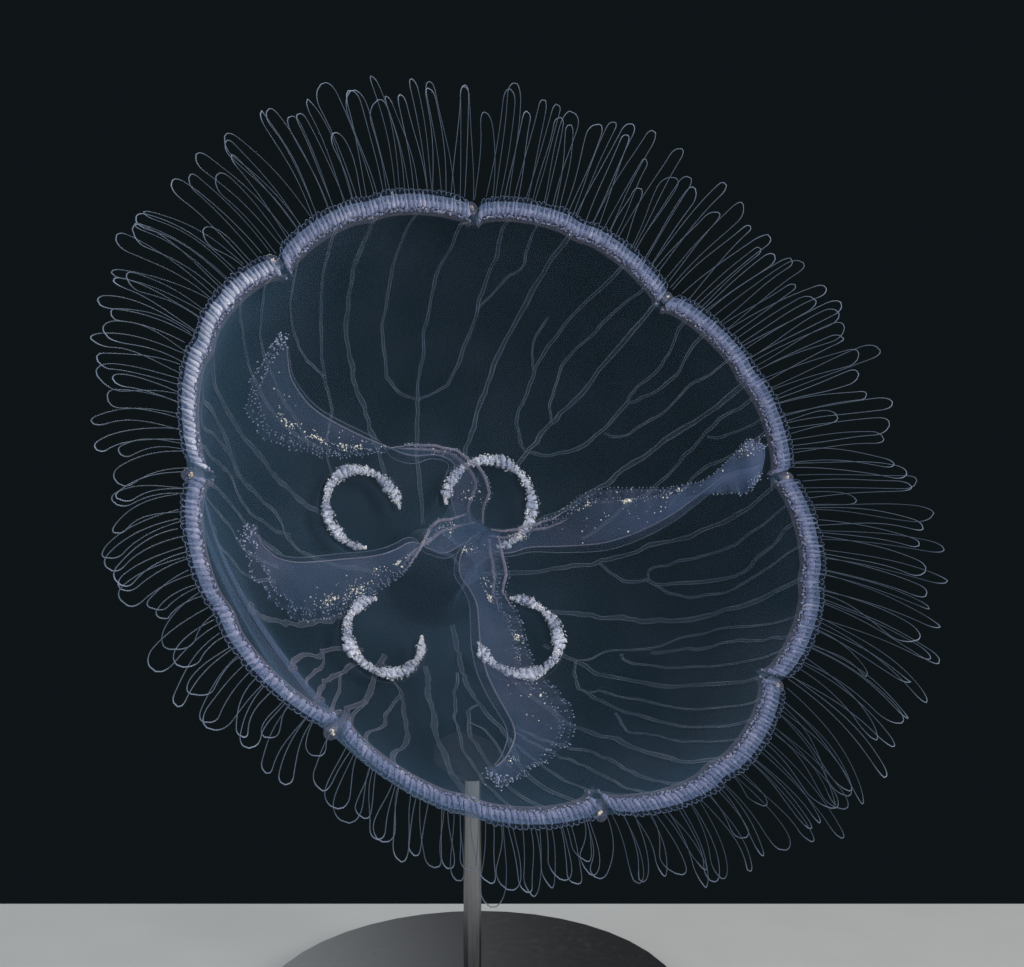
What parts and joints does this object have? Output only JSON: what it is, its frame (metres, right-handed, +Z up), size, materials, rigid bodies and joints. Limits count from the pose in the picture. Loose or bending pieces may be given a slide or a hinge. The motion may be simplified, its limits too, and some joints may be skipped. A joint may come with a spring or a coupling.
{
  "type": "moon jellyfish model",
  "caption": "Life-size moon jellyfish, a deep see-through bell with lobed margin, hairpin feelers, horseshoe gonads and oral arms, tilted on a round stand.",
  "frame": {"origin": "centre of the stand's underside", "axes": "+Z up, +X to the right as one looks into the bell, +Y away from the mouth side; the bell's axis points to -X, +Y and down"},
  "size_m": [0.242, 0.1911, 0.3069],
  "materials": {
    "bell_jelly": "gloss",
    "margin_lilac": "satin",
    "sense_organ": "gloss",
    "gonad_white": "satin",
    "arm_jelly": "gloss",
    "stand_black": "satin",
    "stand_steel": "satin"
  },
  "bodies": {
    "root": {"bell_crown": "bell_jelly", "bell_octant_1": "bell_jelly", "bell_octant_2": "bell_jelly", "bell_octant_3": "bell_jelly", "bell_octant_4": "bell_jelly", "bell_octant_5": "bell_jelly", "bell_octant_6": "bell_jelly", "bell_octant_7": "bell_jelly", "bell_octant_8": "bell_jelly", "margin_fringe_1": "margin_lilac", "margin_fringe_2": "margin_lilac", "margin_fringe_3": "margin_lilac", "margin_fringe_4": "margin_lilac", "margin_fringe_5": "margin_lilac", "margin_fringe_6": "margin_lilac", "margin_fringe_7": "margin_lilac", "margin_fringe_8": "margin_lilac", "sense_organ_1": "sense_organ", "sense_organ_2": "sense_organ", "sense_organ_3": "sense_organ", "sense_organ_4": "sense_organ", "sense_organ_5": "sense_organ", "sense_organ_6": "sense_organ", "sense_organ_7": "sense_organ", "sense_organ_8": "sense_organ", "mouth_stalk": "bell_jelly", "gonad_1": "gonad_white", "gonad_2": "gonad_white", "gonad_3": "gonad_white", "gonad_4": "gonad_white", "oral_arm_1_base": "arm_jelly", "oral_arm_1_blade": "arm_jelly", "oral_arm_1_tip": "arm_jelly", "oral_arm_2_base": "arm_jelly", "oral_arm_2_blade": "arm_jelly", "oral_arm_2_tip": "arm_jelly", "oral_arm_3_base": "arm_jelly", "oral_arm_3_blade": "arm_jelly", "oral_arm_3_tip": "arm_jelly", "oral_arm_4_base": "arm_jelly", "oral_arm_4_blade": "arm_jelly", "oral_arm_4_tip": "arm_jelly", "stand_base": "stand_black", "stand_rod": "stand_steel", "stand_cup": "stand_black"}
  },
  "joints": []
}
